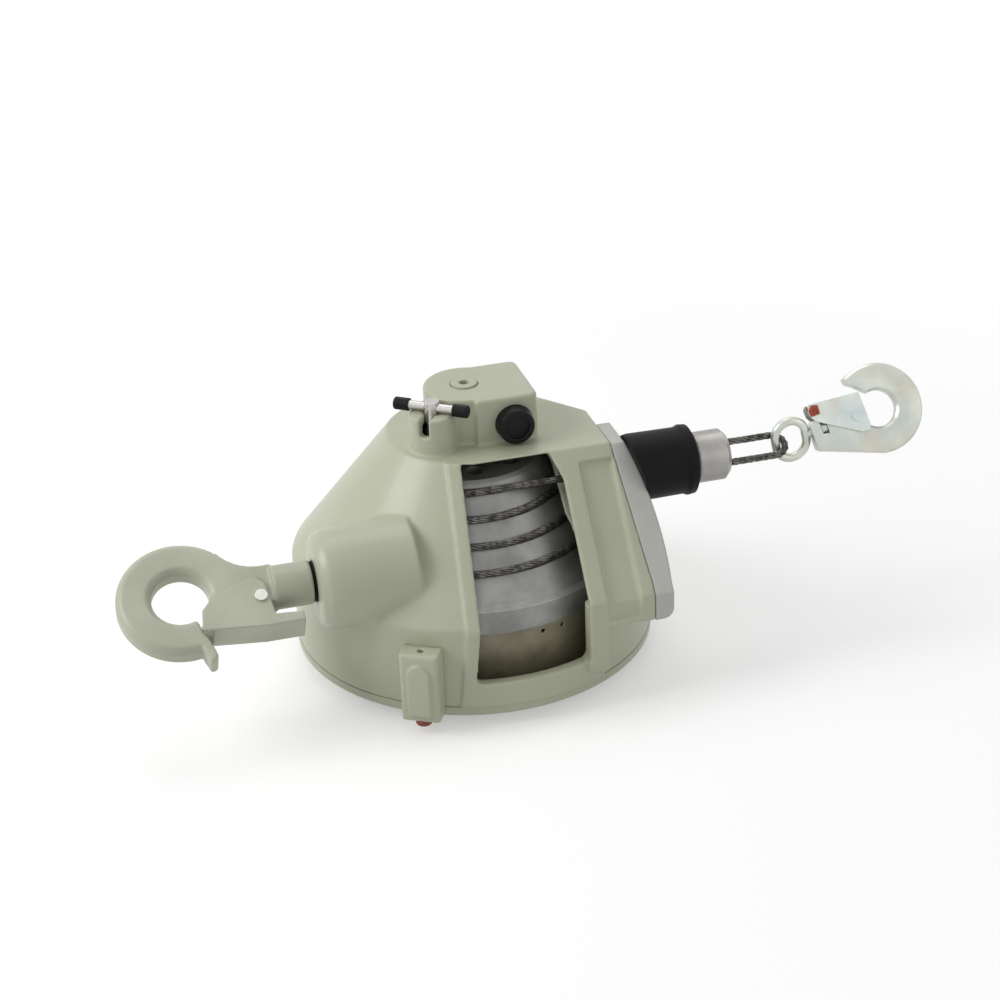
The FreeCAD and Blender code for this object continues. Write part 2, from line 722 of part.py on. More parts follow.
def hook_latch():
    """Folded channel: cheeks astride neck and tip, web between them, lever behind."""
    half, end = latch_half(), hook_reach - 12.0
    slope = 4.0 / (latch_x - 9.0)
    foot = [V(9.0, 0, latch_web + 4.0), V(latch_x, 0, latch_web), V(end, 0, latch_web)]
    side_pts = foot + [V(end, 0, latch_web + 6.0), V(latch_x + 6.5, 0, latch_web + 7.5), V(latch_x + 4.0, 0, -1.0),
                       V(latch_x - 1.0, 0, 5.0), V(21.0, 0, -3.0), V(11.0, 0, -14.0)]
    cheeks = []
    for y0 in (-half, half - latch_t):
        cheek = prism([p + Y * y0 for p in side_pts], Y * latch_t)
        cheeks.append(cheek.cut(cyl(latch_pin_r + nest, 60, V(latch_x, -30, latch_z), Y)))
    start = 15.4
    web = [V(start, 0, latch_web + slope * (latch_x - start)), V(latch_x, 0, latch_web), V(end, 0, latch_web)]
    web = web + [p + Z * latch_t for p in reversed(web)]
    return hang(fuse(prism([p - Y * half for p in web], Y * 2 * half), *cheeks))


def latch_pin():
    half = latch_half()
    pin = cyl(latch_pin_r, 2 * half + 0.4, V(latch_x, -half - 0.2, latch_z), Y)
    heads = [cyl(latch_pin_r + 1.6, 1.4, V(latch_x, y, latch_z), Y) for y in (-half - 1.5, half + 0.1)]
    return hang(fuse(pin, *heads))


def latch_spring():
    """Torsion spring on the pin, with its leg down to the web."""
    coil = tube(latch_pin_r + 1.3, latch_pin_r + nest, 4.4, V(latch_x, -2.2, latch_z), Y)
    leg = block(latch_x - 0.7, latch_x + 0.7, -0.7, 0.7, latch_web + latch_t + 0.4, latch_z - latch_pin_r - 0.4)
    return hang(fuse(coil, leg))


def at_mouth(depth):
    return V(mouth_x + depth, hook_y, hook_z)


def hook_seal():
    """Rubber ring that keeps dust out of the swivel."""
    return tube(seal_r, journal_r + fit, seal_len, at_mouth(-seal_out), X)


def hook_bush():
    """Bronze bush with a flange that takes the collar's side load."""
    return tube(bush_r, journal_r + fit, bush_len, at_mouth(3.0), X)


def thrust_washer():
    return tube(hook_boss_r - 10, journal_r + fit, washer_t, at_mouth(12.2), X)


def hook_nut():
    """Slotted nut on the shank's end."""
    depth = 12.2 + washer_t + gap
    at = at_mouth(depth)
    nut = prism([at + V(0, 13.0 * math.cos(math.pi / 3 * i), 13.0 * math.sin(math.pi / 3 * i))
                 for i in range(6)], X * 10.5)
    nut = nut.cut(cyl(journal_r + 0.02, 20, at - X, X))
    for i in range(3):
        slot = block(at.x + 6.8, at.x + 12, at.y - 1.6, at.y + 1.6, at.z - 20, at.z + 20)
        nut = nut.cut(spun(slot, 60 * i + hook_lean, at, X))
    return nut


def split_pin():
    pin = cyl(1.4, 24.0, V(hook_reach + 24.2, 0, -12.0), Z)
    return hang(pin)


# ---- cable and its outer end -----------------------------------------------------
line_at = V(0, -exit_r, exit_z)


def out_at(x, dy=0.0, dz=0.0):
    return V(x, -exit_r + dy, exit_z + dz)


bumper_x = spout_x - spout_lean + guide_cheek - 2.0
socket_x = bumper_x + bumper_len


def bumper():
    """Rubber buffer: slightly barrelled, with a lip at its outer end."""
    body = turned([(rope_r + 0.5, 0), (bumper_r - 0.6, 0), (bumper_r, 3), (bumper_r - 0.4, bumper_len - 9),
                   (bumper_r + 0.8, bumper_len - 6), (bumper_r + 0.4, bumper_len - 2), (bumper_r - 3, bumper_len),
                   (rope_r + 0.5, bumper_len)])
    body.rotate(O, Y, 90)
    body = moved(body, out_at(bumper_x))
    seat = moved(guide_profile(guide_cheek + gap), V(0, -150, 0)).extrude(V(0, 190, 0))
    return body.cut(seat)


def ferrule():
    """Aluminium socket pressed on both legs of the cable's eye."""
    body = turned([(0, 0), (socket_r - 0.5, 0), (socket_r, 1.5), (socket_r, socket_len - 3), (socket_r - 3, socket_len),
                   (0, socket_len)])
    body.rotate(O, Y, 90)
    body = moved(body, out_at(socket_x + gap))
    body = body.cut(cyl(rope_r + 0.03, 60, out_at(socket_x - 1), X))
    for dy in (-leg_y, leg_y):
        leg = cyl(rope_r + 0.03, 14, out_at(socket_x + socket_len - 12, dy), X)
        body = body.cut(spun(leg, loop_lean, out_at(0), X))
    return body


def cable_run():
    """Straight cable from the drum to the socket."""
    return cyl(rope_r, socket_x + 12 - 1.0, out_at(1.0), X)


def bent_end(centre_x, r_bend, x_from):
    """Two legs joined by a half ring, open to -X."""
    ring = Part.Face(Part.Wire(Part.makeCircle(rope_r, V(0, -r_bend, 0), X))).revolve(O, Z, 180)
    legs = [cyl(rope_r, centre_x - x_from, V(x_from - centre_x, y, 0), X) for y in (-r_bend, r_bend)]
    return moved(spun(fuse(ring, *legs), loop_lean, O, X), out_at(centre_x))


def cable_eye():
    """The cable's loop through the swivel eye; both ends lie in the socket."""
    centre = eye_stock_x + eye_stock + loop_slack + rope_r - leg_y
    return bent_end(centre, leg_y, socket_x + socket_len - 11)


eye_stock_x = eye_x - eye_w


def wound_cable():
    """The turns on the drum, as one closed body."""
    turns = winding(rope_r, 6)
    return turns[0].multiFuse(turns[1:])


# ---- snap hook ----------------------------------------------------------------------
def aim(shape, lean=0.0):
    """From the hook's own plane (eye centre at the origin) to the cable's end."""
    copy = shape.copy()
    copy.translate(X * eye_w)
    copy.rotate(O, X, lean)
    copy.rotate(O, Y, snap_pitch)
    copy.translate(out_at(eye_stock_x))
    return copy


def swivel_eye():
    """Upright oval eye with the stem and head that turn in the hook's tail."""
    straight = eye_v - eye_w
    halves = []
    for sign in (1, -1):
        section = Part.Face(Part.Wire(Part.makeCircle(eye_stock, V(eye_w, 0, 0), Z)))
        half = section.revolve(O, -Y * sign, 180)
        halves.append(moved(half, V(0, 0, sign * straight)))
        halves.append(cyl(eye_stock, 2 * straight, V(sign * eye_w, 0, -straight), Z))
    stem = cyl(swivel_r, head_x - eye_w + 0.5, V(eye_w, 0, 0), X)
    head = cyl(head_r, 3.6, V(head_x, 0, 0), X)
    return aim(fuse(*halves, stem, head))


def snap_hook():
    bowl = V(snap_bowl, 0, 0)
    tail_low, tail_top = -13.5, 6.2
    spine = V(58.0, 0, -math.sqrt(snap_out ** 2 - 9))
    throat = polar(snap_in, 212, bowl)
    tip_in, tip_out = polar(snap_in, 104, bowl), polar(snap_out, 121, bowl)
    tip_a, tip_b = V(50.6, 0, 18.6), V(46.4, 0, 21.4)
    edges = [line(V(swivel_x, 0, tail_top - 2), V(swivel_x + 2, 0, tail_top)),
             line(V(swivel_x + 2, 0, tail_top), V(40, 0, 5.2)), line(V(40, 0, 5.2), V(47.2, 0, 4.6)),
             arc(V(47.2, 0, 4.6), V(49.6, 0, 0.6), throat),
             arc(throat, polar(snap_in, 338, bowl), tip_in), line(tip_in, tip_a), line(tip_a, tip_b),
             line(tip_b, tip_out), arc(tip_out, polar(snap_out, 10, bowl), spine),
             line(spine, V(swivel_x + 2, 0, tail_low)), line(V(swivel_x + 2, 0, tail_low), V(swivel_x, 0, tail_low + 2)),
             line(V(swivel_x, 0, tail_low + 2), V(swivel_x, 0, tail_top - 2))]
    body = Part.Face(Part.Wire(edges)).extrude(V(0, snap_t, 0))
    body.translate(V(0, -snap_t / 2, 0))
    body = bevelled(body, snap_out, snap_bevel, snap_t / 2, -96, 121, bowl)
    body = bevelled(body, snap_in, -snap_bevel, snap_t / 2, -148, 104, bowl)
    body = body.cut(cyl(swivel_r + fit, 12, V(swivel_x - 1, 0, 0), X))
    body = body.cut(block(head_x - gap, head_x + 3.6 + gap, -20, 20, -head_r - 0.5, head_r + 0.5))
    body = body.cut(cyl(gate_r + fit, 40, V(gate_x, -20, gate_z), Y))
    body = body.cut(block(gate_x - 5, gate_x + 3.6, -2.2, 2.2, gate_z - 4.5, 12))
    return aim(body, snap_lean)


def snap_gate():
    """Folded gate: two cheeks astride the hook and a web under the tip."""
    half = snap_t / 2 + gap + gate_t
    pts = [V(15.8, 0, 9.5), V(15.6, 0, 15.0), V(17.0, 0, 17.1), V(51.5, 0, 14.2), V(52.0, 0, -8.0),
           V(50.0, 0, -11.5), V(45.0, 0, -11.0), V(18.4, 0, 5.2)]
    cheeks = []
    for y0 in (-half, half - gate_t):
        cheek = prism([p + Y * y0 for p in pts], Y * gate_t)
        cheeks.append(cheek.cut(cyl(gate_r + 0.02, 60, V(gate_x, -20, gate_z), Y)))
    web = [V(31, 0, 15.95), V(49.5, 0, 14.4), V(49.4, 0, 14.4 - gate_t), V(31, 0, 15.95 - gate_t)]
    web = prism([p - Y * half for p in web], Y * 2 * half)
    return aim(fuse(web, *cheeks), snap_lean)


def gate_rivet():
    half = snap_t / 2 + gap + gate_t
    pin = cyl(gate_r, 2 * half + 0.6, V(gate_x, -half - 0.3, gate_z), Y)
    heads = [cyl(gate_r + 1.1, 0.8, V(gate_x, y, gate_z), Y) for y in (-half - 0.85, half + 0.05)]
    return aim(fuse(pin, *heads), snap_lean)


def gate_spring():
    return aim(tube(3.0, gate_r + 0.25, 3.8, V(gate_x, -1.9, gate_z), Y), snap_lean)


def gate_lock():
    """Coloured slide on the gate's front cheek that must be pushed first."""
    half = snap_t / 2 + gap + gate_t
    pts = [V(15.8, 0, 9.0), V(15.6, 0, 12.4), V(18.6, 0, 16.0), V(22.6, 0, 15.0), V(22.2, 0, 9.0)]
    plate = prism([p - Y * (half + 1.6) for p in pts], Y * 1.55)
    ribs = [block(17.0 + 1.9 * i, 17.9 + 1.9 * i, -half - 2.2, -half - 1.5, 10, 13.6) for i in range(3)]
    return aim(fuse(plate, *ribs), snap_lean)


def lock_nub():
    """Finger rest on the slide's end."""
    half = snap_t / 2 + gap + gate_t
    return aim(block(14.6, 15.55, -half - 1.5, -half - 0.1, 13.2, 16.0), snap_lean)


# ---- arrest block --------------------------------------------------------------------
def at_block(shape):
    """From the block's own frame (+X outwards) to its place on the rim."""
    return spun(shape, block_turn)


block_z0 = hub_h + block_low
block_z1 = block_z0 + block_h

def arrest_block():
    half = block_w / 2
    body = block(rim_r - 8, block_r, -half, half, block_z0, block_z1)
    body = soften(body, 2.5, lambda e: e.CenterOfMass.x > block_r - 0.1 and
                  (abs(e.CenterOfMass.y) > half - 0.1 or e.CenterOfMass.z > block_z1 - 0.1))
    # raised round-topped field on the front
    field = fuse(block(block_r - 1, block_r + 1.8, -7.2, 7.2, block_z0 + 4, block_z1 - 14),
                 cyl(7.2, 2.8, V(block_r - 1, 0, block_z1 - 14), X))
    body = fuse(body, field)
    body = body.cut(cyl(rim_r + nest, 100, V(0, 0, seat_z - 40)))
    # chamber for the pawl, open to the housing's wall
    body = body.cut(block(rim_r - 10, rim_r + 7.5, -8.5, 8.5, seat_z + 8, seat_z + 20))
    body = body.cut(cyl(button_r + fit, seat_z + 8 - block_z0, V(button_x, 0, block_z0 - 1)))
    body = body.cut(cyl(2.2, 8, V(button_x - 0.5, 0, block_z1 - 7)))
    body = body.cut(cyl(1.5 + fit, 22, V(pawl_x, pawl_y, seat_z + 3)))
    return at_block(body)


pawl_x, pawl_y = rim_r + 2.2, -4.5
pawl_low, pawl_h = seat_z + 9.0, 10.0


def pawl():
    """Tooth that stops the drum if the power spring breaks."""
    tail = block(pawl_x - 2.0, pawl_x + 2.8, pawl_y, 6.6, pawl_low, pawl_low + pawl_h)
    eye = cyl(2.8, pawl_h, V(pawl_x, pawl_y, pawl_low))
    nose = prism([V(pawl_x, 0.8, pawl_low), V(pawl_x, 5.4, pawl_low), V(case_r + 1.6, 5.4, pawl_low),
                  V(case_r + 1.6, 3.0, pawl_low)], Z * pawl_h)
    body = fuse(tail, eye, nose).cut(cyl(1.5 + fit, 40, V(pawl_x, pawl_y, seat_z)))
    return at_block(body)


def pawl_pin():
    return at_block(cyl(1.5, 21.5, V(pawl_x, pawl_y, seat_z + 3.3)))


def reset_button():
    z0 = block_z0
    body = fuse(cyl(button_r, 9.0, V(button_x, 0, z0 - 5.5)), cyl(2.4, 3.5, V(button_x, 0, z0 + 3.0)))
    body = soften(body, 1.2, lambda e: abs(e.CenterOfMass.z - (z0 - 5.5)) < 0.1 and e.Length > 20)
    return at_block(body)


def button_spring():
    low = block_z0 + 3.6
    return at_block(tube(4.0, 3.2, seat_z + 7 - low, V(button_x, 0, low)))


nodes = {
    "front_housing": front_housing, "back_cover": back_cover, "cover_screws": cover_screws,
    "hub_plate": cover_hub_plate, "cable_guide": cable_guide, "drum": drum, "drum_bearings": bearings,
    "spring_case": spring_case, "spring_case_lid": case_lid, "power_spring": power_spring,
    "spindle": spindle, "worm_wheel": worm_wheel, "worm": worm, "adjuster_cap": adjuster_cap,
    "top_plug": top_plug, "lock_pin": lock_pin, "lock_bar": lock_bar, "lock_bar_tips": bar_tips,
    "lock_spring": lock_spring, "lock_collar": lock_collar, "suspension_hook": suspension_hook, "hook_seal": hook_seal, "hook_latch": hook_latch,
    "latch_pin": latch_pin, "latch_spring": latch_spring, "hook_bush": hook_bush,
    "thrust_washer": thrust_washer, "hook_nut": hook_nut, "split_pin": split_pin,
    "wound_cable": wound_cable, "cable_run": cable_run, "cable_eye": cable_eye, "bumper": bumper,
    "cable_socket": ferrule, "swivel_eye": swivel_eye, "snap_hook": snap_hook, "snap_gate": snap_gate,
    "gate_rivet": gate_rivet, "gate_spring": gate_spring, "gate_lock": gate_lock, "lock_nub": lock_nub,
    "arrest_block": arrest_block, "arrest_pawl": pawl, "pawl_pin": pawl_pin,
    "reset_button": reset_button, "button_spring": button_spring,
}

for name, make in nodes.items():
    save(name, make())
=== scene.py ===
import json
import math

import bmesh
import bpy
from mathutils import Matrix, Vector


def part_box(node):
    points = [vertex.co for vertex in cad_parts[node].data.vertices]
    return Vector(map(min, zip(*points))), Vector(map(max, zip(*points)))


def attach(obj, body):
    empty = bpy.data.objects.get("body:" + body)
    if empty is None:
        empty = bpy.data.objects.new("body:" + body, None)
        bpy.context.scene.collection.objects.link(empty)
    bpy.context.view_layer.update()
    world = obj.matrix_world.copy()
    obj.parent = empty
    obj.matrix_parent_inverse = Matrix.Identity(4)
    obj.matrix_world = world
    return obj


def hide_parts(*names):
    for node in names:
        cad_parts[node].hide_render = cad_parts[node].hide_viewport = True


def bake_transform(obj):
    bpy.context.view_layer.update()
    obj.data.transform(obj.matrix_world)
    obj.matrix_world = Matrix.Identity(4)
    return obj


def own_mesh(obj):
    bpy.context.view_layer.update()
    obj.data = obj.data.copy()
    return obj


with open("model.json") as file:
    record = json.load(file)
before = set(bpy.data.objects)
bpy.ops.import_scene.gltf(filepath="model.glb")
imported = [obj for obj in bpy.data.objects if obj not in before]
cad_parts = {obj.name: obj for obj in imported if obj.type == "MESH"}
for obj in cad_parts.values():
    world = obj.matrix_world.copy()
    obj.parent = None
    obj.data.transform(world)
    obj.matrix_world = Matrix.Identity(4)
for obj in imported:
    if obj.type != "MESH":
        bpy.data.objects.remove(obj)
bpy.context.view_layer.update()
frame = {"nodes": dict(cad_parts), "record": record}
nodes = frame["nodes"]

MM = 0.001

# ---- sizes shared with the part -------------------------------------------------
PANEL, PANEL_FOOT, PANEL_TOP = (58.5, 79.0), 62.0, 144.0    # recessed panel of the spout, in mm
EXIT_R, EXIT_Z = 54.0 * MM, 133.5 * MM      # where the rope leaves the drum
PITCH, SLOPE, TURNS = 13.6 * MM, 0.796, 3.5  # rise per turn, cone's growth per rise, turns on the drum
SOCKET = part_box("cable_socket")
EYE_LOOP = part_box("cable_eye")
LEG_Y, LOOP_LEAN = 7.8 * MM, math.radians(30.0)   # half the loop's width, and its plane's lean

# ---- rope's make-up -----------------------------------------------------------------
ROPE_R = 2.4 * MM
STRANDS, LAY = 6, 30 * MM                   # strands, and the length of one twist
STRAND_R, CORE_R = ROPE_R * 0.345, ROPE_R * 0.5
STEPS_PER_LAY, WIRE_SIDES = 9, 6

# ---- sizes that only the looks need ---------------------------------------------------
BACKING = (0.25, 3.0)                       # metal kept behind the panel's face, in mm
BACKING_STEPS = 10
OUTSIDE_Y = -0.2                            # clear of the part on the window side, in metres
SPRING_WIRE, SPRING_TURNS, SPRING_STEPS, SPRING_SIDES = 0.8 * MM, 5.5, 16, 8
TURN_STEPS, LOOP_STEPS = 72, 24             # points per turn on the drum, and round the eye

# ---- stage ------------------------------------------------------------------------------
FLOOR_SIZE = 6.0
FLOOR_LIFT = 0.38                 # light that the floor seems to give to the eye
FLOOR_FADE = (0.30, 0.75)         # metres from the drum's axis
AMBIENT = 0.40
LAMP_AIM = Vector((0, 0, 0.08))
LAMPS = (                         # name, place, size and power
    ("key", (-1.65, 0.1, 1.3), 1.0, 18),
    ("fill", (1.4, -1.2, 0.7), 1.0, 2.5),
    ("top", (0.1, 0.8, 1.9), 1.2, 7),
)


# ---- camera -----------------------------------------------------------------
def make_camera():
    """Three-quarter view from the window side, slightly rolled."""
    azimuth, elevation, roll = map(math.radians, (-14.0, 30.35, -2.55))
    distance, lens, aim = 1.588, 85.0, Vector((0, 0, 8 * MM))
    back = Vector((math.sin(azimuth) * math.cos(elevation),
                   -math.cos(azimuth) * math.cos(elevation), math.sin(elevation)))
    right = Vector((math.cos(azimuth), math.sin(azimuth), 0))
    up = back.cross(right)
    basis = Matrix((right * math.cos(roll) + up * math.sin(roll),
                    up * math.cos(roll) - right * math.sin(roll), back)).transposed()
    # the aim point is set off from the middle of the view
    off = Vector((-0.0108, -0.0515, -1.0)).normalized()
    turn = off.rotation_difference(Vector((0, 0, -1))).to_matrix()
    data = bpy.data.cameras.new("camera")
    data.lens, data.sensor_width = lens, 36.0
    data.clip_start, data.clip_end = 0.05, 20
    cam = bpy.data.objects.new("camera", data)
    cam.matrix_world = Matrix.Translation(aim + back * distance) @ (basis @ turn).to_4x4()
    bpy.context.scene.collection.objects.link(cam)
    bpy.context.scene.camera = cam


# ---- mesh helpers --------------------------------------------------------------
def new_mesh(name, verts, faces, body, slot, stands_for):
    """A smooth piece that stands for CAD nodes; without a body it is left free to be blended."""
    mesh = bpy.data.meshes.new(name)
    mesh.from_pydata(verts, [], faces)
    mesh.polygons.foreach_set("use_smooth", [True] * len(mesh.polygons))
    obj = bpy.data.objects.new(name, mesh)
    bpy.context.scene.collection.objects.link(obj)
    mesh.materials.append(materials[slot])
    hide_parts(*stands_for)
    if body:
        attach(obj, body)
    return obj


def tube_mesh(path, radius, sides):
    """Vertices and faces of a round bar along a list of points, closed at both ends."""
    verts, faces = [], []
    tangent = (path[1] - path[0]).normalized()
    side = tangent.orthogonal().normalized()
    for i, p in enumerate(path):
        nxt = path[min(i + 1, len(path) - 1)] - path[max(i - 1, 0)]
        nxt.normalize()
        side = tangent.rotation_difference(nxt) @ side
        tangent = nxt
        other = tangent.cross(side)
        for k in range(sides):
            a = 2 * math.pi * k / sides
            verts.append(p + (side * math.cos(a) + other * math.sin(a)) * radius)
    for i in range(len(path) - 1):
        for k in range(sides):
            a, b = i * sides + k, i * sides + (k + 1) % sides
            faces.append((a, b, b + sides, a + sides))
    faces.append(tuple(range(sides - 1, -1, -1)))
    faces.append(tuple(len(verts) - sides + k for k in range(sides)))
    return verts, faces


def even_samples(route):
    """Points at even distances along the route, each with its distance from the start."""
    lengths = [0.0]
    for a, b in zip(route, route[1:]):
        lengths.append(lengths[-1] + (b - a).length)
    count = max(2, int(lengths[-1] / LAY * STEPS_PER_LAY))
    samples, j = [], 0
    for i in range(count + 1):
        s = lengths[-1] * i / count
        while j < len(route) - 2 and lengths[j + 1] < s:
            j += 1
        t = (s - lengths[j]) / (lengths[j + 1] - lengths[j])
        samples.append((route[j].lerp(route[j + 1], min(max(t, 0), 1)), s))
    return samples


def cross_frames(samples):
    """Each sample with two directions square to the route, carried along without twist."""
    tangent = (samples[1][0] - samples[0][0]).normalized()
    side = tangent.orthogonal().normalized()
    frames, last = [], len(samples) - 1
    for i, (p, s) in enumerate(samples):
        nxt = (samples[min(i + 1, last)][0] - samples[max(i - 1, 0)][0]).normalized()
        side = tangent.rotation_difference(nxt) @ side
        tangent = nxt
        frames.append((p, side.copy(), tangent.cross(side), s))
    return frames


def rope(name, route, body, stands_for):
    """Wire rope: strands laid round a core along the route."""
    frames = cross_frames(even_samples(route))
    lanes = [([p for p, _, _, _ in frames], CORE_R)]
    for n in range(STRANDS):
        lane = []
        for p, u, v, s in frames:
            a = 2 * math.pi * (n / STRANDS + s / LAY)
            lane.append(p + (u * math.cos(a) + v * math.sin(a)) * (ROPE_R - STRAND_R))
        lanes.append((lane, STRAND_R))
    verts, faces = [], []
    for lane, radius in lanes:
        base = len(verts)
        v, f = tube_mesh(lane, radius, WIRE_SIDES)
        verts += v
        faces += [tuple(base + q for q in face) for face in f]
    return new_mesh(name, verts, faces, body, "rope", stands_for)


# ---- materials --------------------------------------------------------------------
def rgb(r, g, b):
    """A colour as it is seen on a screen, for the shader."""
    out = []
    for c in (r, g, b):
        c /= 255.0
        out.append(c / 12.92 if c <= 0.04045 else ((c + 0.055) / 1.055) ** 2.4)
    return (*out, 1.0)


def group(name, outputs, inputs):
    """Empty node group with its sockets, and its input and output nodes."""
    g = bpy.data.node_groups.new(name, "ShaderNodeTree")
    for n, kind, value in inputs:
        s = g.interface.new_socket(n, in_out="INPUT", socket_type=kind)
        if value is not None:
            s.default_value = value
    for n, kind in outputs:
        g.interface.new_socket(n, in_out="OUTPUT", socket_type=kind)
    return g, g.nodes.new("NodeGroupInput"), g.nodes.new("NodeGroupOutput")


def blend_by(n, l, value, span, amount, first, second):
    """Colour that goes from first to second as value crosses the span, at most by amount."""
    reach = n.new("ShaderNodeMapRange")
    reach.inputs["From Min"].default_value, reach.inputs["From Max"].default_value = span
    l.new(value, reach.inputs["Value"])
    l.new(amount, reach.inputs["To Max"])
    mix = n.new("ShaderNodeMix")
    mix.data_type = "RGBA"
    l.new(reach.outputs["Result"], mix.inputs["Factor"])
    l.new(first, mix.inputs["A"])
    l.new(second, mix.inputs["B"])
    return mix.outputs["Result"]


def mottled_group():
    """Two tones mixed by soft noise, with a fine-grained bump, a gloss change and a lighter colour painted on
    the edges as a highlight.
    """
    g, gin, gout = group("mottled", [("Color", "NodeSocketColor"), ("Roughness", "NodeSocketFloat"),
                                     ("Normal", "NodeSocketVector")],
                         [("Light", "NodeSocketColor", None), ("Dark", "NodeSocketColor", None),
                          ("Patch", "NodeSocketFloat", 30.0), ("Grain", "NodeSocketFloat", 900.0),
                          ("Bump", "NodeSocketFloat", 0.15), ("Rough low", "NodeSocketFloat", 0.35),
                          ("Rough high", "NodeSocketFloat", 0.5), ("Edge", "NodeSocketFloat", 0.0012),
                          ("Edge highlight", "NodeSocketColor", None), ("Edge highlight amount", "NodeSocketFloat", 0.0),
                          ("Tint", "NodeSocketColor", None), ("Tint amount", "NodeSocketFloat", 0.0)])
    n, l = g.nodes, g.links
    coord = n.new("ShaderNodeTexCoord")
    patch = n.new("ShaderNodeTexNoise")
    patch.inputs["Detail"].default_value = 4.0
    l.new(coord.outputs["Object"], patch.inputs["Vector"])
    l.new(gin.outputs["Patch"], patch.inputs["Scale"])
    ramp = n.new("ShaderNodeMapRange")
    ramp.inputs["From Min"].default_value, ramp.inputs["From Max"].default_value = 0.35, 0.68
    l.new(patch.outputs["Fac"], ramp.inputs["Value"])
    mix = n.new("ShaderNodeMix")
    mix.data_type = "RGBA"
    l.new(ramp.outputs["Result"], mix.inputs["Factor"])
    l.new(gin.outputs["Dark"], mix.inputs["A"])
    l.new(gin.outputs["Light"], mix.inputs["B"])
    grain = n.new("ShaderNodeTexNoise")
    grain.inputs["Detail"].default_value = 3.0
    l.new(coord.outputs["Object"], grain.inputs["Vector"])
    l.new(gin.outputs["Grain"], grain.inputs["Scale"])
    soft = n.new("ShaderNodeBevel")
    soft.samples = 6
    l.new(gin.outputs["Edge"], soft.inputs["Radius"])
    bump = n.new("ShaderNodeBump")
    bump.inputs["Distance"].default_value = 0.0004
    l.new(gin.outputs["Bump"], bump.inputs["Strength"])
    l.new(grain.outputs["Fac"], bump.inputs["Height"])
    l.new(soft.outputs["Normal"], bump.inputs["Normal"])
    gloss = n.new("ShaderNodeMapRange")
    l.new(grain.outputs["Fac"], gloss.inputs["Value"])
    l.new(gin.outputs["Rough low"], gloss.inputs["To Min"])
    l.new(gin.outputs["Rough high"], gloss.inputs["To Max"])
    # a second, wider noise lays the tint in clouds
    cloud = n.new("ShaderNodeTexNoise")
    cloud.inputs["Scale"].default_value, cloud.inputs["Detail"].default_value = 38.0, 2.0
    l.new(coord.outputs["Object"], cloud.inputs["Vector"])
    tinted = blend_by(n, l, cloud.outputs["Fac"], (0.45, 0.66), gin.outputs["Tint amount"],
                      mix.outputs["Result"], gin.outputs["Tint"])
    # near an edge the rounded normal leaves the true one, and there a lighter colour is painted in as a
    # highlight
    true = n.new("ShaderNodeNewGeometry")
    facing = n.new("ShaderNodeVectorMath")
    facing.operation = "DOT_PRODUCT"
    l.new(soft.outputs["Normal"], facing.inputs[0])
    l.new(true.outputs["Normal"], facing.inputs[1])
    highlighted_edges = blend_by(n, l, facing.outputs["Value"], (0.995, 0.90), gin.outputs["Edge highlight amount"],
                     tinted, gin.outputs["Edge highlight"])
    l.new(highlighted_edges, gout.inputs["Color"])
    l.new(gloss.outputs["Result"], gout.inputs["Roughness"])
    l.new(bump.outputs["Normal"], gout.inputs["Normal"])
    return g


def rings_group():
    """Fine turning marks round an axis, as a height."""
    g, gin, gout = group("turning_marks", [("Height", "NodeSocketFloat")],
                         [("Vector", "NodeSocketVector", None), ("Pitch", "NodeSocketFloat", 900.0)])
    n, l = g.nodes, g.links
    wave = n.new("ShaderNodeTexWave")
    wave.wave_type, wave.bands_direction = "BANDS", "Z"
    wave.inputs["Distortion"].default_value = 0.6
    wave.inputs["Detail"].default_value = 2.0
    l.new(gin.outputs["Vector"], wave.inputs["Vector"])
    l.new(gin.outputs["Pitch"], wave.inputs["Scale"])
    l.new(wave.outputs["Fac"], gout.inputs["Height"])
    return g


def surface(name, light, dark, metallic=0.0, rough=(0.35, 0.5), bump=0.15, patch=30.0, grain=900.0,
            edge=1.2, coat=0.0, edge_highlight=None, edge_highlight_amount=0.0, tint=None, tint_amount=0.0,
            specular=0.5, turned=None):
    """Material whose colour, gloss and grain come from the mottled group, with a lighter colour painted on its
    edges as a highlight; turned is an axis and a pitch.
    """
    mat = bpy.data.materials.new(name)
    mat.use_nodes = True
    n, l = mat.node_tree.nodes, mat.node_tree.links
    shader = n["Principled BSDF"]
    shader.inputs["Metallic"].default_value = metallic
    shader.inputs["Specular IOR Level"].default_value = specular
    shader.inputs["Coat Weight"].default_value = coat
    shader.inputs["Coat Roughness"].default_value = 0.15
    mottle = n.new("ShaderNodeGroup")
    mottle.node_tree = mottled
    for key, value in (("Light", light), ("Dark", dark), ("Patch", patch), ("Grain", grain), ("Bump", bump),
                       ("Rough low", rough[0]), ("Rough high", rough[1]), ("Edge", edge * MM),
                       ("Edge highlight", edge_highlight or light), ("Edge highlight amount", edge_highlight_amount),
                       ("Tint", tint or light), ("Tint amount", tint_amount)):
        mottle.inputs[key].default_value = value
    l.new(mottle.outputs["Color"], shader.inputs["Base Color"])
    l.new(mottle.outputs["Roughness"], shader.inputs["Roughness"])
    l.new(mottle.outputs["Normal"], shader.inputs["Normal"])
    if turned:
        add_turning(mat, mottle, shader, *turned)
    return mat


MARKS_DEPTH, MARKS_STRENGTH = 0.00006, 0.6
AXIS_TURN = {"Z": (0, 0, 0), "X": (0, math.pi / 2, 0)}     # lays an axis along the marks' own Z


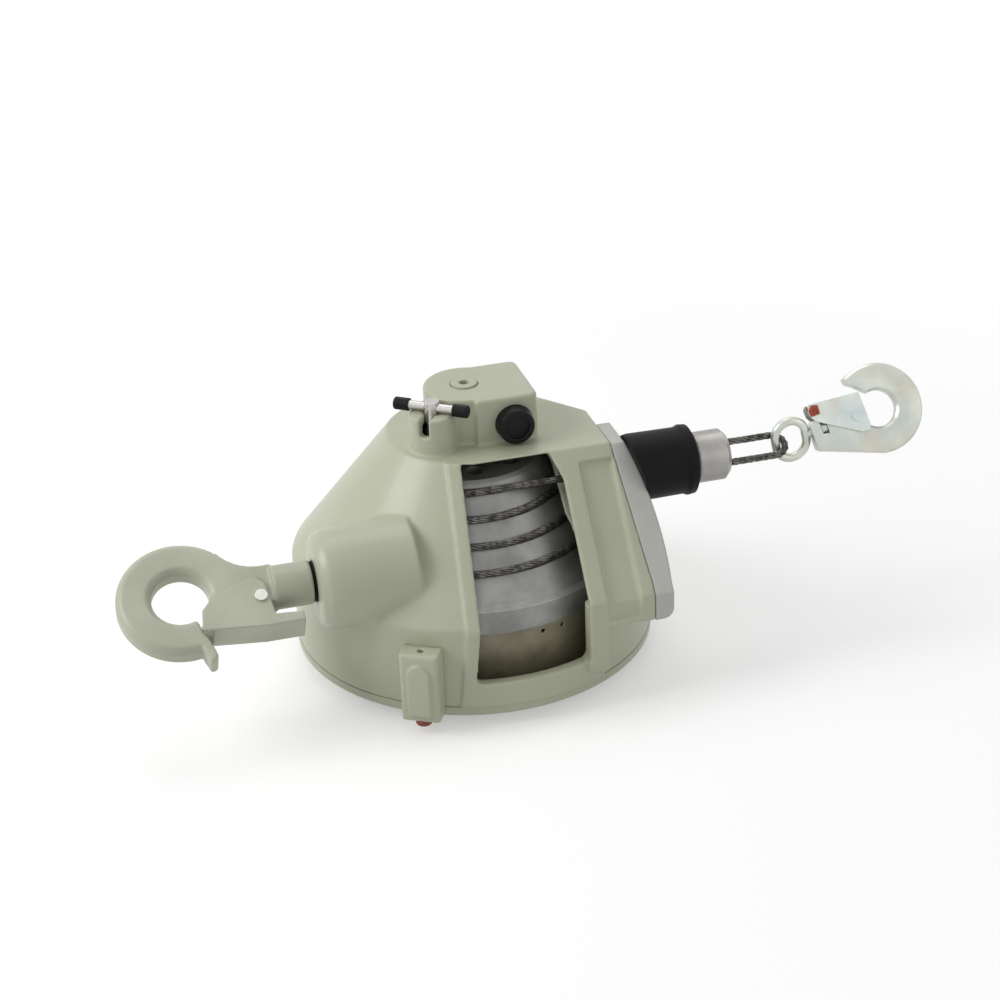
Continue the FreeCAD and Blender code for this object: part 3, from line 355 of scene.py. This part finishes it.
def add_turning(mat, mottle, shader, axis, pitch):
    """Turning marks round the axis, over the grain."""
    n, l = mat.node_tree.nodes, mat.node_tree.links
    coord = n.new("ShaderNodeTexCoord")
    place = n.new("ShaderNodeMapping")
    place.inputs["Rotation"].default_value = AXIS_TURN[axis]
    l.new(coord.outputs["Object"], place.inputs["Vector"])
    marks = n.new("ShaderNodeGroup")
    marks.node_tree = rings
    marks.inputs["Pitch"].default_value = pitch
    l.new(place.outputs["Vector"], marks.inputs["Vector"])
    bump = n.new("ShaderNodeBump")
    bump.inputs["Distance"].default_value = MARKS_DEPTH
    bump.inputs["Strength"].default_value = MARKS_STRENGTH
    l.new(marks.outputs["Height"], bump.inputs["Height"])
    l.new(mottle.outputs["Normal"], bump.inputs["Normal"])
    l.new(bump.outputs["Normal"], shader.inputs["Normal"])


mottled = mottled_group()
rings = rings_group()


def make_materials():
    """One finish for each material slot of the record."""
    m = {}
    # each edge colour below is a painted highlight along the piece's edges, lighter than the material's own
    # colour
    m["castings"] = surface("enamel", rgb(191, 194, 170), rgb(184, 187, 163), rough=(0.36, 0.48), bump=0.12,
                            patch=14, grain=1400, edge=1.8, coat=0.2, edge_highlight=rgb(200, 203, 184),
                            edge_highlight_amount=0.6)
    m["forged_hook"] = surface("enamel_hook", rgb(194, 197, 177), rgb(180, 183, 162), rough=(0.4, 0.54),
                               bump=0.35, patch=26, grain=420, edge=2.2, coat=0.15,
                               edge_highlight=rgb(202, 205, 187), edge_highlight_amount=0.5)
    m["fasteners"] = surface("zinc_screws", rgb(168, 166, 160), rgb(140, 138, 132), metallic=0.9,
                             rough=(0.3, 0.45), edge=0.5)
    m["nylon"] = surface("nylon", rgb(206, 206, 200), rgb(197, 197, 191), rough=(0.42, 0.55), bump=0.08,
                         edge=2.2, edge_highlight=rgb(206, 206, 204), edge_highlight_amount=0.5)
    m["drum_cast"] = surface("drum_metal", rgb(158, 158, 156), rgb(130, 130, 129), metallic=0.75,
                             rough=(0.38, 0.55), patch=46, edge=0.8, edge_highlight=rgb(196, 196, 194),
                             edge_highlight_amount=0.5, turned=("Z", 700))
    m["bearing_steel"] = surface("bearing", rgb(180, 180, 180), rgb(160, 160, 160), metallic=1.0,
                                 rough=(0.2, 0.3), edge=0.4)
    m["pressed_steel"] = surface("pressed_steel", rgb(140, 134, 112), rgb(116, 110, 90), metallic=0.3,
                                 rough=(0.35, 0.5), patch=60, edge=0.8, coat=0.2,
                                 edge_highlight=rgb(196, 188, 160), edge_highlight_amount=0.8)
    m["spring_steel"] = surface("spring_steel", rgb(90, 92, 100), rgb(60, 60, 66), metallic=1.0,
                                rough=(0.3, 0.45), edge=0.3)
    m["shaft_steel"] = surface("shaft_steel", rgb(170, 170, 168), rgb(140, 140, 138), metallic=1.0,
                               rough=(0.25, 0.4), edge=0.4, turned=("Z", 1200))
    m["bronze"] = surface("bronze", rgb(190, 158, 96), rgb(160, 128, 74), metallic=1.0, rough=(0.3, 0.45),
                          edge=0.4)
    m["black_plastic"] = surface("black_plastic", rgb(11, 11, 12), rgb(6, 6, 7), rough=(0.36, 0.5),
                                 bump=0.14, edge=0.9, edge_highlight=rgb(30, 30, 32), edge_highlight_amount=0.5,
                                 specular=0.2)
    m["bright_steel"] = surface("bright_steel", rgb(200, 198, 194), rgb(170, 168, 164), metallic=1.0,
                                rough=(0.18, 0.32), edge=0.5, edge_highlight=rgb(226, 224, 220), edge_highlight_amount=0.6)
    m["rope"] = surface("rope_wire", rgb(128, 125, 120), rgb(62, 60, 58), metallic=0.85, rough=(0.3, 0.48),
                        patch=260, edge=0.1, bump=0.3, grain=2500)
    m["rubber"] = surface("rubber", rgb(9, 9, 10), rgb(5, 5, 6), rough=(0.42, 0.58), bump=0.22, patch=60,
                          edge=1.4, edge_highlight=rgb(26, 26, 28), edge_highlight_amount=0.5, specular=0.15)
    m["socket_alu"] = surface("socket_metal", rgb(174, 171, 167), rgb(146, 144, 140), metallic=1.0,
                              rough=(0.24, 0.36), edge=0.8, edge_highlight=rgb(226, 224, 220),
                              edge_highlight_amount=0.6, turned=("X", 1500))
    m["hook_zinc"] = surface("zinc_hook", rgb(214, 217, 206), rgb(190, 198, 192), metallic=0.92,
                             rough=(0.28, 0.44), patch=55, edge=0.9, tint=rgb(190, 172, 150), tint_amount=0.55,
                             edge_highlight=rgb(214, 214, 208), edge_highlight_amount=0.5)
    m["gate_zinc"] = surface("zinc_gate", rgb(216, 223, 215), rgb(196, 207, 206), metallic=0.92,
                             rough=(0.24, 0.38), patch=70, edge=0.4, tint=rgb(206, 190, 168), tint_amount=0.5,
                             edge_highlight=rgb(222, 226, 222), edge_highlight_amount=0.6)
    m["orange_plastic"] = surface("orange_plastic", rgb(196, 92, 58), rgb(170, 78, 50), rough=(0.4, 0.5),
                                  edge=0.4)
    m["red_plastic"] = surface("red_plastic", rgb(160, 78, 64), rgb(136, 62, 52), rough=(0.4, 0.55),
                               edge=0.5)
    return m


materials = make_materials()
for part in frame["record"]["subparts"]:
    mesh = nodes[part["node"]].data
    mesh.materials.clear()
    mesh.materials.append(materials[part["material_slot"]])


# ---- castings and forgings -------------------------------------------------------------
def body_of(node):
    """Name of the moving body that the node belongs to."""
    return next(b for b, members in frame["record"]["behaviour"]["bodies"].items() if node in members)


def slot_of(node):
    """Material slot that the record gives to the node."""
    return next(p["material_slot"] for p in frame["record"]["subparts"] if p["node"] == node)


def panel_backing():
    """Metal behind the recessed panel, inside the guide's tongue, so that its thin wall keeps its body."""
    x0, x1 = PANEL[0] * MM, PANEL[1] * MM
    cast = nodes["front_housing"]
    bm = bmesh.new()
    rows = []
    for i in range(BACKING_STEPS + 1):
        z = (PANEL_FOOT + (PANEL_TOP - PANEL_FOOT) * i / BACKING_STEPS) * MM
        _, place, _, _ = cast.ray_cast(Vector(((x0 + x1) / 2, OUTSIDE_Y, z)), Vector((0, 1, 0)))
        front, back = place.y + BACKING[0] * MM, place.y + BACKING[1] * MM
        rows.append([bm.verts.new((x, y, z)) for x, y in ((x0, front), (x1, front), (x1, back), (x0, back))])
    for low, high in zip(rows, rows[1:]):
        for k in range(4):
            bm.faces.new((low[k], low[(k + 1) % 4], high[(k + 1) % 4], high[k]))
    bm.faces.new(rows[0][::-1])
    bm.faces.new(rows[-1])
    return bm


def rounded(node, name, voxel, passes, keep, extra=None):
    """The node's own form with its edges and inner corners rounded, as a mould leaves them.

    voxel is in mm, passes softens, keep is the share of faces that stays, and extra is joined in."""
    obj = bpy.data.objects.new(name, nodes[node].data.copy())
    bpy.context.scene.collection.objects.link(obj)
    if extra:
        extra.from_mesh(obj.data)
        extra.to_mesh(obj.data)
        extra.free()
    skin = obj.modifiers.new("skin", "REMESH")
    skin.mode, skin.voxel_size, skin.use_smooth_shade = "VOXEL", voxel * MM, True
    soft = obj.modifiers.new("soft", "SMOOTH")
    soft.factor, soft.iterations = 0.5, passes
    light = obj.modifiers.new("light", "DECIMATE")
    light.ratio = keep
    deps = bpy.context.evaluated_depsgraph_get()
    mesh = bpy.data.meshes.new_from_object(obj.evaluated_get(deps))
    obj.modifiers.clear()
    obj.data = mesh
    mesh.name = name
    mesh.polygons.foreach_set("use_smooth", [True] * len(mesh.polygons))
    mesh.materials.clear()
    mesh.materials.append(materials[slot_of(node)])
    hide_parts(node)
    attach(obj, body_of(node))


rounded("front_housing", "housing_casting", voxel=0.85, passes=10, keep=0.22, extra=panel_backing())
rounded("suspension_hook", "hook_forging", voxel=0.8, passes=6, keep=0.6)
rounded("arrest_block", "arrest_block_casting", voxel=0.5, passes=3, keep=0.5)


# ---- rope ------------------------------------------------------------------------------
def wound_route():
    """Spiral down the cone from the run-off, its radius growing with the turns."""
    points = []
    for i in range(int(TURNS * TURN_STEPS) + 1):
        turn = i / TURN_STEPS
        a = -math.pi / 2 - 2 * math.pi * turn
        r = EXIT_R + SLOPE * PITCH * turn
        points.append(Vector((r * math.cos(a), r * math.sin(a), EXIT_Z - PITCH * turn)))
    return points


def run_route():
    """Straight from the drum into the socket."""
    return [Vector((x * MM, -EXIT_R, EXIT_Z)) for x in (0, 40, 90, SOCKET[0].x / MM + 2)]


def loop_route():
    """Out of the socket, round the eye's stock and back."""
    x0, x1 = EYE_LOOP[0].x, EYE_LOOP[1].x - ROPE_R - LEG_Y
    lean = Matrix.Rotation(LOOP_LEAN, 3, "X")
    flat = [(x0, -LEG_Y)]
    for i in range(LOOP_STEPS + 1):
        a = -math.pi / 2 + math.pi * i / LOOP_STEPS
        flat.append((x1 + LEG_Y * math.cos(a), LEG_Y * math.sin(a)))
    flat.append((x0, LEG_Y))
    return [lean @ Vector((x, y, 0)) + Vector((0, -EXIT_R, EXIT_Z)) for x, y in flat]


def coil_spring(node):
    """Open coil between its two seats, riding on the body of the node it stands for."""
    low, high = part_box(node)
    middle, height = (low + high) / 2, high.z - low.z
    radius, steps = (high.x - low.x) / 2 - SPRING_WIRE / 2, int(SPRING_TURNS * SPRING_STEPS)
    route = []
    for i in range(steps + 1):
        a = 2 * math.pi * SPRING_TURNS * i / steps
        rise = SPRING_WIRE / 2 + (height - SPRING_WIRE) * i / steps
        route.append(Vector((middle.x + radius * math.cos(a), middle.y + radius * math.sin(a),
                             low.z + rise)))
    verts, faces = tube_mesh(route, SPRING_WIRE / 2, SPRING_SIDES)
    spring = new_mesh(node + "_coil", verts, faces, body_of(node), slot_of(node), [node])
    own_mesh(spring)


rope("rope_on_drum", wound_route(), "drum", ["wound_cable"])
# the run is drawn out between the drum and the socket as the cable is pulled
run = rope("rope_run", run_route(), None, ["cable_run"])
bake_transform(run)
rope("rope_eye", loop_route(), "cable_end", ["cable_eye"])
coil_spring("lock_spring")
coil_spring("button_spring")


# ---- floor and light -----------------------------------------------------------------------
def seen_rays(n, l):
    """1 for rays that see a background: direct, mirrored or through glass."""
    path = n.new("ShaderNodeLightPath")
    total = path.outputs["Is Camera Ray"]
    for name in ("Is Glossy Ray", "Is Transmission Ray"):
        step = n.new("ShaderNodeMath")
        step.operation = "MAXIMUM"
        l.new(total, step.inputs[0])
        l.new(path.outputs[name], step.inputs[1])
        total = step.outputs[0]
    return total


def floor_material():
    """Pale floor that keeps the shadow near the object and is plain white further out."""
    mat = bpy.data.materials.new("floor")
    mat.use_nodes = True
    n, l = mat.node_tree.nodes, mat.node_tree.links
    paint = n["Principled BSDF"]
    paint.inputs["Base Color"].default_value = (0.8, 0.8, 0.8, 1)
    paint.inputs["Roughness"].default_value = 0.9
    paint.inputs["Specular IOR Level"].default_value = 0.0
    paint.inputs["Emission Color"].default_value = (1, 1, 1, 1)
    seen = seen_rays(n, l)
    lift = n.new("ShaderNodeMath")
    lift.operation = "MULTIPLY"
    lift.inputs[1].default_value = FLOOR_LIFT
    l.new(seen, lift.inputs[0])
    l.new(lift.outputs[0], paint.inputs["Emission Strength"])
    white = n.new("ShaderNodeEmission")
    coord = n.new("ShaderNodeTexCoord")
    length = n.new("ShaderNodeVectorMath")
    length.operation = "LENGTH"
    l.new(coord.outputs["Object"], length.inputs[0])
    far = n.new("ShaderNodeMapRange")
    far.interpolation_type = "SMOOTHSTEP"
    far.inputs["From Min"].default_value, far.inputs["From Max"].default_value = FLOOR_FADE
    l.new(length.outputs["Value"], far.inputs["Value"])
    blend = n.new("ShaderNodeMath")
    blend.operation = "MULTIPLY"
    l.new(far.outputs["Result"], blend.inputs[0])
    l.new(seen, blend.inputs[1])
    mix = n.new("ShaderNodeMixShader")
    l.new(blend.outputs[0], mix.inputs["Fac"])
    l.new(paint.outputs["BSDF"], mix.inputs[1])
    l.new(white.outputs["Emission"], mix.inputs[2])
    l.new(mix.outputs["Shader"], n["Material Output"].inputs["Surface"])
    return mat


def make_floor():
    """Wide floor under the object."""
    reach = FLOOR_SIZE
    mesh = bpy.data.meshes.new("floor")
    mesh.from_pydata([(-reach, -reach, 0), (reach, -reach, 0), (reach, reach, 0), (-reach, reach, 0)],
                     [], [(0, 1, 2, 3)])
    floor = bpy.data.objects.new("floor", mesh)
    bpy.context.scene.collection.objects.link(floor)
    mesh.materials.append(floor_material())


def make_world():
    """White to the eye and in reflections, and a low even light on the object."""
    world = bpy.data.worlds.new("studio")
    world.use_nodes = True
    bpy.context.scene.world = world
    n, l = world.node_tree.nodes, world.node_tree.links
    background = n["Background"]
    level = n.new("ShaderNodeMapRange")
    level.inputs["To Min"].default_value = AMBIENT
    level.inputs["To Max"].default_value = 1.0
    l.new(seen_rays(n, l), level.inputs["Value"])
    l.new(level.outputs["Result"], background.inputs["Strength"])
    background.inputs["Color"].default_value = (1, 1, 1, 1)


def make_lamps():
    """Three soft lamps turned to the object."""
    for name, place, size, power in LAMPS:
        data = bpy.data.lights.new(name, "AREA")
        data.size, data.energy = size, power
        lamp = bpy.data.objects.new(name, data)
        lamp.location = place
        lamp.rotation_euler = (LAMP_AIM - Vector(place)).to_track_quat("-Z", "Y").to_euler()
        bpy.context.scene.collection.objects.link(lamp)


make_camera()
make_floor()
make_world()
make_lamps()
bpy.context.scene.view_settings.view_transform = "Standard"
